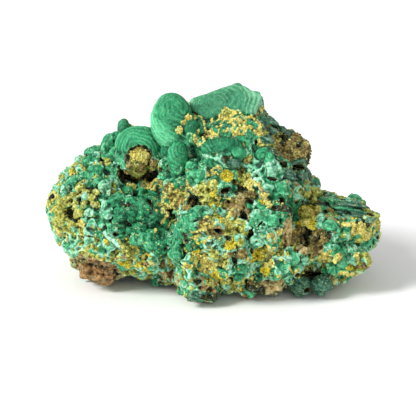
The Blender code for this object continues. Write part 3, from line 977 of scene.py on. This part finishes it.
def add_bump(tree, column, row, shader, height, strength, distance):
    """Give a shader a bump."""
    inputs = {"Height": height, "Strength": strength, "Distance": distance}
    bump = add_node(tree, "ShaderNodeBump", column, row, inputs)
    tree.links.new(bump.outputs["Normal"], shader.inputs["Normal"])


def opaque(colour):
    """A colour with the fourth value that a colour socket holds."""
    return (*colour, 1.0)


def new_group(name, inputs, outputs):
    """An empty node group with named sockets. Gives the group, its input node and its output node."""
    group = bpy.data.node_groups.new(name, "ShaderNodeTree")
    for label, kind, value in inputs:
        socket = group.interface.new_socket(label, in_out="INPUT", socket_type=kind)
        socket.default_value = value
    for label, kind in outputs:
        group.interface.new_socket(label, in_out="OUTPUT", socket_type=kind)
    return group, add_node(group, "NodeGroupInput", -1, 0), add_node(group, "NodeGroupOutput", 8, 0)


def stone_grain_group():
    """Uneven values through the stone: broad swells, fine grain, and a speckled height for bumps."""
    sizes = (("Swell Size", "NodeSocketFloat", 0.006), ("Grain Size", "NodeSocketFloat", 0.0009))
    values = [(name, "NodeSocketFloat") for name in ("Swell", "Grain", "Height")]
    group, given, result = new_group("stone_grain", sizes, values)
    place = add_node(group, "ShaderNodeTexCoord", 0, 0).outputs["Object"]
    swell_scale = add_maths(group, "DIVIDE", 0, 1, 1.0, given.outputs["Swell Size"])
    grain_scale = add_maths(group, "DIVIDE", 0, 2, 1.0, given.outputs["Grain Size"])
    swell = add_noise(group, 1, 0, place, swell_scale, 3.0, 0.55)
    grain = add_noise(group, 1, 1, place, grain_scale, 4.0, 0.65)
    cells = add_node(group, "ShaderNodeTexVoronoi", 1, 2, {"Vector": place, "Scale": grain_scale})
    speck = add_range(group, 2, 2, cells.outputs["Distance"], 0.42, 0.12, kind="SMOOTHSTEP")
    rough_height = add_maths(group, "MULTIPLY", 2, 0, grain, 0.6)
    height = add_maths(group, "MULTIPLY_ADD", 3, 0, speck, 0.4, rough_height)
    for name, socket in (("Swell", swell), ("Grain", grain), ("Height", height)):
        group.links.new(socket, result.inputs[name])
    return group


def three_tone_group():
    """A colour that runs from dark through a middle tone to pale as a value rises from 0 to 1."""
    grey = (0.5, 0.5, 0.5, 1.0)
    inputs = (
        ("Dark", "NodeSocketColor", grey), ("Middle", "NodeSocketColor", grey),
        ("Pale", "NodeSocketColor", grey), ("Value", "NodeSocketFloat", 0.5),
    )
    group, given, result = new_group("three_tone", inputs, [("Colour", "NodeSocketColor")])
    low = add_range(group, 0, 0, given.outputs["Value"], 0.0, 0.5)
    high = add_range(group, 0, 1, given.outputs["Value"], 0.5, 1.0)
    lower = add_blend(group, 1, 0, low, given.outputs["Dark"], given.outputs["Middle"])
    whole = add_blend(group, 2, 0, high, lower, given.outputs["Pale"])
    group.links.new(whole, result.inputs["Colour"])
    return group


def crumbs_group():
    """A mask of scattered crumbs: Size is how far apart they are, Amount how much of the stone has them."""
    inputs = (("Size", "NodeSocketFloat", 0.001), ("Amount", "NodeSocketFloat", 0.5))
    group, given, result = new_group("crumbs", inputs, [("Mask", "NodeSocketFloat")])
    place = add_node(group, "ShaderNodeTexCoord", 0, 0).outputs["Object"]
    scale = add_maths(group, "DIVIDE", 0, 1, 1.0, given.outputs["Size"])
    drift = add_noise(group, 1, 0, place, 260.0, 3.0, 0.5)
    cells = add_node(group, "ShaderNodeTexVoronoi", 1, 1, {"Vector": place, "Scale": scale})
    dot = add_range(group, 2, 1, cells.outputs["Distance"], 0.46, 0.3)
    chosen = add_node(group, "ShaderNodeSeparateColor", 2, 2, {0: cells.outputs["Color"]}).outputs[0]
    crowd = add_maths(group, "MULTIPLY_ADD", 2, 0, drift, 1.4, -0.7)
    limit = add_maths(group, "ADD", 3, 0, given.outputs["Amount"], crowd)
    there = add_maths(group, "LESS_THAN", 4, 0, chosen, limit)
    group.links.new(add_maths(group, "MULTIPLY", 5, 0, there, dot), result.inputs["Mask"])
    return group


def veins_group():
    """A mask of thin winding lines: Size is how far apart they are, Width how wide."""
    inputs = (("Size", "NodeSocketFloat", 0.003), ("Width", "NodeSocketFloat", 0.03))
    group, given, result = new_group("veins", inputs, [("Mask", "NodeSocketFloat")])
    place = add_node(group, "ShaderNodeTexCoord", 0, 0).outputs["Object"]
    scale = add_maths(group, "DIVIDE", 0, 1, 1.0, given.outputs["Size"])
    drift = add_noise(group, 1, 0, place, scale, 3.0, 0.5, bend=0.5)
    offset = add_maths(group, "ABSOLUTE", 3, 0, add_maths(group, "SUBTRACT", 2, 0, drift, 0.5))
    line = add_range(group, 4, 0, offset, given.outputs["Width"], 0.0)
    group.links.new(line, result.inputs["Mask"])
    return group


def use_group(tree, name, column, row, inputs):
    """Place one of the shared effects, which is built the first time that it is used."""
    makers = {
        "stone_grain": stone_grain_group, "three_tone": three_tone_group,
        "crumbs": crumbs_group, "veins": veins_group,
    }
    group = bpy.data.node_groups.get(name) or makers[name]()
    return add_node(tree, "ShaderNodeGroup", column, row, inputs, node_tree=group)


def new_material(name):
    """An empty material. Gives the material, its node tree and its Principled shader."""
    material = bpy.data.materials.new(name)
    material.use_nodes = True
    tree = material.node_tree
    tree.nodes.clear()
    output = add_node(tree, "ShaderNodeOutputMaterial", 22, 0)
    shader = add_node(tree, "ShaderNodeBsdfPrincipled", 20, 0)
    tree.links.new(shader.outputs["BSDF"], output.inputs["Surface"])
    return material, tree, shader


def mineral_shares(tree):
    """A share socket for each mineral, read from the skin's own points."""
    sockets = []
    for row, name in enumerate(COVERS):
        node = add_node(tree, "ShaderNodeAttribute", 0, row, attribute_name=name)
        parts = add_node(tree, "ShaderNodeSeparateColor", 1, row, {0: node.outputs["Color"]})
        sockets += [*parts.outputs, node.outputs["Alpha"]]
    return dict(zip(MINERALS, sockets))


def stone_material(colours):
    """The whole stone: each mineral's three tones, laid over one another where its share is high.

    Each tone is picked by random swells and grain, and is also paler where the skin stands out and darker in
    its
    small hollows: painted highlight and painted shade. Then come crumbs, pale rims, dark cracks, and painted
    shade on whatever lies lower than the skin around it.
    """
    material, tree, shader = new_material("malachite_stone")
    shares = mineral_shares(tree)
    lie = add_node(tree, "ShaderNodeAttribute", 0, 4, attribute_name="relief")
    parts = add_node(tree, "ShaderNodeSeparateColor", 1, 4, {0: lie.outputs["Color"]})
    fine, broad, ring = parts.outputs
    grain = use_group(tree, "stone_grain", 1, 6, {"Swell Size": 0.0045, "Grain Size": 0.0008})
    # The fine relief makes the tone paler where the skin stands out and darker in its small hollows: a painted
    # highlight and painted shade on top of the random swells and grain
    rise = add_maths(tree, "MULTIPLY_ADD", 3, 5, grain.outputs["Swell"], 0.9, fine)
    rise = add_maths(tree, "MULTIPLY_ADD", 4, 5, grain.outputs["Grain"], 0.9, rise)
    value = add_maths(tree, "ADD", 5, 5, rise, -0.9)
    turn = add_maths(tree, "MULTIPLY", 1, 8, ring, RING_TURN)
    turn = add_maths(tree, "MULTIPLY_ADD", 2, 7, grain.outputs["Swell"], 3.0, turn)
    wave = add_maths(tree, "SINE", 3, 7, turn)
    depth = add_maths(tree, "MULTIPLY_ADD", 4, 7, lie.outputs["Alpha"], 0.09, 0.03)
    ringed = add_maths(tree, "MULTIPLY_ADD", 6, 6, wave, depth, value)
    rim = add_range(tree, 5, 7, ring, 0.28, 0.42, to_low=-0.12, to_high=0.32)
    ringed = add_maths(tree, "MULTIPLY_ADD", 7, 7, rim, lie.outputs["Alpha"], ringed)
    edge = add_maths(tree, "MULTIPLY_ADD", 3, 8, grain.outputs["Grain"], 0.9, -0.45)
    colour = None
    rough = None
    for number, name in enumerate(MINERALS):
        column = 8 + number
        dark, pale = DARK_AND_PALE[name]
        tones = use_group(tree, "three_tone", column, 6, {
            "Dark": opaque(dark), "Middle": opaque(getattr(colours, name)), "Pale": opaque(pale),
            "Value": ringed if name in (*RINGED, "slate") else value,
        })
        if colour is None:
            colour = tones.outputs["Colour"]
            rough = ROUGHNESS[name]
            continue
        ragged = add_maths(tree, "ADD", column, 4, shares[name], edge)
        share = add_range(tree, column, 3, ragged, 0.3, 0.6)
        colour = add_blend(tree, column, 2, share, colour, tones.outputs["Colour"])
        mixed = add_node(tree, "ShaderNodeMix", column, 5, {0: share, 2: rough, 3: ROUGHNESS[name]})
        rough = mixed.outputs[0]
    plain = add_maths(tree, "MULTIPLY_ADD", 17, 12, lie.outputs["Alpha"], -0.7, 0.8)
    plain = add_maths(tree, "SUBTRACT", 17, 13, plain, shares["brown"], use_clamp=True)
    for row, (mineral, size, amount) in enumerate(CRUMBS):
        crumbs = use_group(tree, "crumbs", 17, 10 + row, {"Size": size, "Amount": amount})
        mask = add_maths(tree, "MULTIPLY", 18, 10 + row, crumbs.outputs["Mask"], plain)
        colour = add_blend(tree, 18 + row, 1, mask, colour, opaque(DARK_AND_PALE[mineral][1]))
    rough_only = add_maths(tree, "MULTIPLY_ADD", 16, 13, lie.outputs["Alpha"], -0.8, 1.0)
    rims = use_group(tree, "veins", 16, 14, {"Size": 0.0042, "Width": 0.018})
    rims = add_maths(tree, "MULTIPLY", 17, 14, rims.outputs["Mask"], rough_only)
    rim_share = add_maths(tree, "MULTIPLY", 18, 14, rims, 0.4)
    colour = add_blend(tree, 19, 0, rim_share, colour, opaque(DARK_AND_PALE["mint"][1]))
    cracks = use_group(tree, "veins", 16, 15, {"Size": 0.0032, "Width": 0.022})
    cracks = add_maths(tree, "MULTIPLY", 17, 15, cracks.outputs["Mask"], rough_only)
    crack_share = add_maths(tree, "MULTIPLY", 18, 15, cracks, 0.55)
    colour = add_blend(tree, 20, 0, crack_share, colour, opaque(DARK_AND_PALE["hollow"][0]))
    height = add_maths(tree, "MULTIPLY_ADD", 18, 16, cracks, -0.7, grain.outputs["Height"])
    height = add_maths(tree, "MULTIPLY_ADD", 19, 16, rims, 0.5, height)
    # Painted shade: darker on whatever lies lower than the skin around it
    shade = add_range(tree, 18, 7, broad, 0.12, 0.52, to_low=0.25)
    colour = add_blend(tree, 19, 2, 1.0, colour, shade, "MULTIPLY")
    tree.links.new(colour, shader.inputs["Base Color"])
    tree.links.new(rough, shader.inputs["Roughness"])
    shader.inputs["Specular IOR Level"].default_value = 0.25
    add_bump(tree, 19, 8, shader, height, 0.9, 0.0006)
    return material


def grain_material(name, colours):
    """Loose grains of one mineral, each in a tone of its own."""
    material, tree, shader = new_material(f"{name}_grains")
    tint = add_node(tree, "ShaderNodeAttribute", 0, 0, attribute_name="tint").outputs["Fac"]
    grain = use_group(tree, "stone_grain", 0, 2, {"Swell Size": 0.004, "Grain Size": 0.0004})
    value = add_maths(tree, "MULTIPLY_ADD", 2, 1, grain.outputs["Grain"], 0.8, tint)
    value = add_maths(tree, "SUBTRACT", 3, 1, value, 0.4)
    dark, pale = DARK_AND_PALE[name]
    tones = use_group(tree, "three_tone", 5, 0, {
        "Dark": opaque(dark), "Middle": opaque(getattr(colours, name)), "Pale": opaque(pale), "Value": value,
    })
    tree.links.new(tones.outputs["Colour"], shader.inputs["Base Color"])
    rough = add_maths(tree, "MULTIPLY_ADD", 4, 3, grain.outputs["Grain"], 0.3, ROUGHNESS[name] - 0.15)
    tree.links.new(rough, shader.inputs["Roughness"])
    add_bump(tree, 6, 3, shader, grain.outputs["Height"], 0.4, 0.0001)
    return material


class SPECIMEN_OT_grow_stone(bpy.types.Operator):
    """Grow the stone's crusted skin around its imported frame"""

    bl_idname = "specimen.grow_stone"
    bl_label = "Grow Stone"
    bl_options = {"REGISTER", "UNDO"}

    def execute(self, context):
        shape = context.scene.specimen_shape
        swells = Swells(shape.seed)
        seeds = Seeds(shape.seed + 1)
        rng = np.random.default_rng(shape.seed + 2)
        block = StoneBlock(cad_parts[NODE], shape.cell / MM)
        block.gap += shape.inset / MM
        block.roughen(swells, shape.swell_size / MM, shape.swell_height / MM)
        grow_botryoids(block, shape, rng, swells)
        grow_slabs(block)
        grow_lobes(block)
        grow_fingers(block)
        grow_plates(block)
        carve_pits(block, shape, rng, swells)
        carve_pockets(block)
        grow_knobs(block, rng)
        block.bud(swells, shape.lump_size / MM, shape.lump_height / MM, ringed_share=0.12)
        block.stand()
        points, faces = block.skin(whole=False)
        edges = np.unique(np.sort(edges_of(faces), axis=1), axis=0)
        normals = face_normals_at_points(points, faces)

        maker = block.values_at(block.maker, points)
        mineral = np.array(block.minerals)[maker]
        laid = lay_minerals(points, normals, swells)
        ringed = np.array(block.ringed, float)[maker]
        dusted = (mineral == MINERAL_NUMBER["emerald"]) & (ringed == 0.0)
        dusted &= np.isin(laid, [MINERAL_NUMBER[name] for name in ("gold", "brass")])
        mineral = np.where((mineral == NO_MINERAL) | dusted, laid, mineral)
        share = np.eye(len(MINERALS))[mineral]
        share = spread(share, edges, 1)
        ring = np.linalg.norm(points - np.array(block.poles)[maker], axis=1)
        ring = np.where(maker == 0, RING_SPACING * seeds(points, RING_SPACING)[0], ring)
        ring = ring + RING_WANDER * swells.layered(points + ASIDE["rings"], WANDER_SIZE)
        ringed = spread(ringed[:, None], edges, 2)[:, 0]

        push = shape.relief * fine_relief(points, share, ring, ringed, swells, seeds)
        push[points[:, 2] < RESTING] = 0.0
        points = points + push[:, None] * normals
        points[:, 2] = np.maximum(points[:, 2], 0.0)
        points = spread(points, edges, 1, share=SMOOTHING)

        # What stands out of the skin or lies low in it, for the material's painted highlight and painted shade
        near = spread(points, edges, NEAR_ROUNDS)
        far = spread(near, edges, FAR_ROUNDS)
        fine = ((points - near) * normals).sum(axis=1)
        broad = ((points - far) * normals).sum(axis=1)
        fine = 0.5 + FINE_SCALE * fine
        broad = 0.5 + BROAD_SCALE * broad
        relief = np.stack((fine, broad, ring / RING_RANGE, ringed), axis=-1)

        mesh = stone_mesh("stone", points, faces)
        for number, name in enumerate(COVERS):
            add_colour_attribute(mesh, name, share[:, 4 * number:4 * number + 4])
        add_colour_attribute(mesh, "relief", np.clip(relief, 0.0, 1.0))
        stone = show(mesh, "stone", stone_material(context.scene.specimen_colours))
        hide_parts(NODE)
        return {"FINISHED"}


# How likely each kind of loose grain is, where its mineral covers the stone
GRAIN_KINDS = {"gold": 0.8, "lemon": 0.8, "brass": 0.5, "olive": 0.12}
MOST_GRAINS = 6000
# Least and greatest size and stretch of a grain, and how far its middle stands out of the skin, as shares of
# its radius, and the least and greatest of its tones
GRAIN_SIZES = (0.6, 1.35)
GRAIN_STRETCH = (0.8, 1.2)
GRAIN_OUT = 0.15
GRAIN_TINTS = (0.2, 0.8)


class SPECIMEN_OT_strew_grains(bpy.types.Operator):
    """Strew loose grains over the yellow patches of the stone"""

    bl_idname = "specimen.strew_grains"
    bl_label = "Strew Grains"
    bl_options = {"REGISTER", "UNDO"}

    def execute(self, context):
        settings = context.scene.specimen_grains
        rng = np.random.default_rng(context.scene.specimen_shape.seed + 5)
        mesh = bpy.data.objects["stone"].data
        points = read_values(mesh.vertices, "co", 3) / MM
        normals = read_values(mesh.vertex_normals, "vector", 3)
        share = np.hstack([read_values(mesh.attributes[name].data, "color", 4) for name in COVERS])
        for name, amount in GRAIN_KINDS.items():
            chance = amount * smooth_step(0.5, 1.0, share[:, MINERAL_NUMBER[name]])
            chosen = strewn(points, settings.spacing / MM, chance, rng, MOST_GRAINS)
            grains = grain_mesh(f"{name}_grains", points[chosen], normals[chosen], settings.radius / MM, rng)
            show(grains, f"{name}_grains", grain_material(name, context.scene.specimen_colours))
        return {"FINISHED"}


def grain_mesh(name, points, normals, radius, rng):
    """A mesh of small many-sided grains, turned and sized by chance and about half sunk in the skin."""
    form = bmesh.new()
    bmesh.ops.create_icosphere(form, subdivisions=1, radius=1.0)
    corners = np.array([vertex.co[:] for vertex in form.verts])
    faces = np.array([[vertex.index for vertex in face.verts] for face in form.faces])
    form.free()
    count = len(points)
    turns, _ = np.linalg.qr(rng.normal(size=(count, 3, 3)))
    turns[np.linalg.det(turns) < 0.0, 0] *= -1.0
    size = radius * rng.uniform(*GRAIN_SIZES, count)
    stretch = rng.uniform(*GRAIN_STRETCH, (count, 1, 3))
    centres = points + GRAIN_OUT * size[:, None] * normals
    placed = (corners[None] * stretch) @ turns * size[:, None, None] + centres[:, None]
    placed[..., 2] = np.maximum(placed[..., 2], 0.0)
    all_faces = faces[None] + len(corners) * np.arange(count)[:, None, None]
    mesh = stone_mesh(name, placed.reshape(-1, 3), all_faces.reshape(-1, 3))
    mesh.shade_flat()
    tints = np.repeat(rng.uniform(*GRAIN_TINTS, count), len(corners))
    tint = mesh.attributes.new("tint", "FLOAT", "POINT")
    tint.data.foreach_set("value", tints.astype(np.float32))
    return mesh


# Which way the lights lie from the middle of the stone, and how wide they are in the sky
KEY_FROM = (-0.95, -0.5, 0.85)
FILL_FROM = (0.25, -0.9, 0.35)
KEY_SPREAD = math.radians(20.0)
FILL_SPREAD = math.radians(60.0)
# What the camera looks at: how far left of the middle, in metres, and at what share of the stone's height
AIM_LEFT = 0.0007
AIM_HEIGHT = 0.364
# The floor's half width and how far it lies below the stone, in metres
FLOOR_HALF = 6.0
FLOOR_GAP = 0.0002


class SPECIMEN_OT_set_stage(bpy.types.Operator):
    """Set the floor, the lights and the camera"""

    bl_idname = "specimen.set_stage"
    bl_label = "Set Stage"
    bl_options = {"REGISTER", "UNDO"}

    def execute(self, context):
        scene = context.scene
        settings = scene.specimen_stage
        low, high = (np.array(corner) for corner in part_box(NODE))
        middle = Vector((0.5 * (low[0] + high[0]) - AIM_LEFT, 0.0, AIM_HEIGHT * high[2]))

        floor_mesh = bpy.data.meshes.new("floor")
        form = bmesh.new()
        bmesh.ops.create_grid(form, x_segments=1, y_segments=1, size=FLOOR_HALF)
        form.to_mesh(floor_mesh)
        form.free()
        floor = bpy.data.objects.new("floor", floor_mesh)
        floor.location.z = low[2] - FLOOR_GAP
        scene.collection.objects.link(floor)
        material, _, shader = new_material("floor")
        shader.inputs["Base Color"].default_value = opaque(settings.floor_colour)
        shader.inputs["Roughness"].default_value = 0.9
        shader.inputs["Specular IOR Level"].default_value = 0.1
        floor_mesh.materials.append(material)

        def add_light(name, direction, angle, power):
            """Add a distant light. The wider its angle, the softer its shadows."""
            data = bpy.data.lights.new(name, "SUN")
            data.angle = angle
            data.energy = power
            light = bpy.data.objects.new(name, data)
            light.location = middle + Vector(direction)
            light.rotation_euler = Vector(direction).to_track_quat("Z", "Y").to_euler()
            scene.collection.objects.link(light)

        add_light("key_light", KEY_FROM, KEY_SPREAD, settings.key_power)
        add_light("fill_light", FILL_FROM, FILL_SPREAD, settings.fill_power)

        world = bpy.data.worlds.new("studio")
        world.use_nodes = True
        tree = world.node_tree
        seen = add_node(tree, "ShaderNodeLightPath", -3, 0).outputs["Is Camera Ray"]
        strength = add_node(tree, "ShaderNodeMix", -2, 0, {0: seen, 2: settings.sky, 3: 1.0}).outputs[0]
        background = tree.nodes["Background"]
        background.inputs["Color"].default_value = (1.0, 1.0, 1.0, 1.0)
        tree.links.new(strength, background.inputs["Strength"])
        scene.world = world
        scene.view_settings.view_transform = "Standard"

        data = bpy.data.cameras.new("camera")
        data.sensor_width = 36.0
        data.lens = data.sensor_width * settings.distance / settings.width
        data.clip_start = 0.01
        camera = bpy.data.objects.new("camera", data)
        camera.location = middle - settings.distance * Vector(INTO_STONE)
        camera.rotation_euler = (0.5 * math.pi - FACE_LEAN, 0.0, 0.0)
        scene.collection.objects.link(camera)
        scene.camera = camera
        return {"FINISHED"}


class SPECIMEN_PT_panel(bpy.types.Panel):
    """Malachite specimen"""

    bl_idname = "SPECIMEN_PT_panel"
    bl_label = "Malachite Specimen"
    bl_space_type = "VIEW_3D"
    bl_region_type = "UI"
    bl_category = "Specimen"

    def draw(self, context):
        layout = self.layout
        for operator, settings in (
            ("specimen.grow_stone", context.scene.specimen_shape),
            ("specimen.strew_grains", context.scene.specimen_grains),
            ("specimen.set_stage", context.scene.specimen_stage),
        ):
            box = layout.box()
            box.operator(operator)
            for name in settings.__annotations__:
                box.prop(settings, name)
        box = layout.box()
        for name in MINERALS:
            box.prop(context.scene.specimen_colours, name)


SETTINGS = {
    "specimen_shape": SpecimenShape,
    "specimen_grains": SpecimenGrains,
    "specimen_colours": SpecimenColours,
    "specimen_stage": SpecimenStage,
}
CLASSES = (
    *SETTINGS.values(),
    SPECIMEN_OT_grow_stone,
    SPECIMEN_OT_strew_grains,
    SPECIMEN_OT_set_stage,
    SPECIMEN_PT_panel,
)


def register():
    """Add the classes and the settings to the program."""
    for cls in CLASSES:
        bpy.utils.register_class(cls)
    for name, group in SETTINGS.items():
        setattr(bpy.types.Scene, name, PointerProperty(type=group))


def unregister():
    """Take the settings and the classes out again."""
    for name in SETTINGS:
        delattr(bpy.types.Scene, name)
    for cls in reversed(CLASSES):
        bpy.utils.unregister_class(cls)


def main():
    """Build the stone and its stage."""
    register()
    bpy.ops.specimen.grow_stone()
    bpy.ops.specimen.strew_grains()
    bpy.ops.specimen.set_stage()
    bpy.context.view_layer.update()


if __name__ == "__main__":
    main()
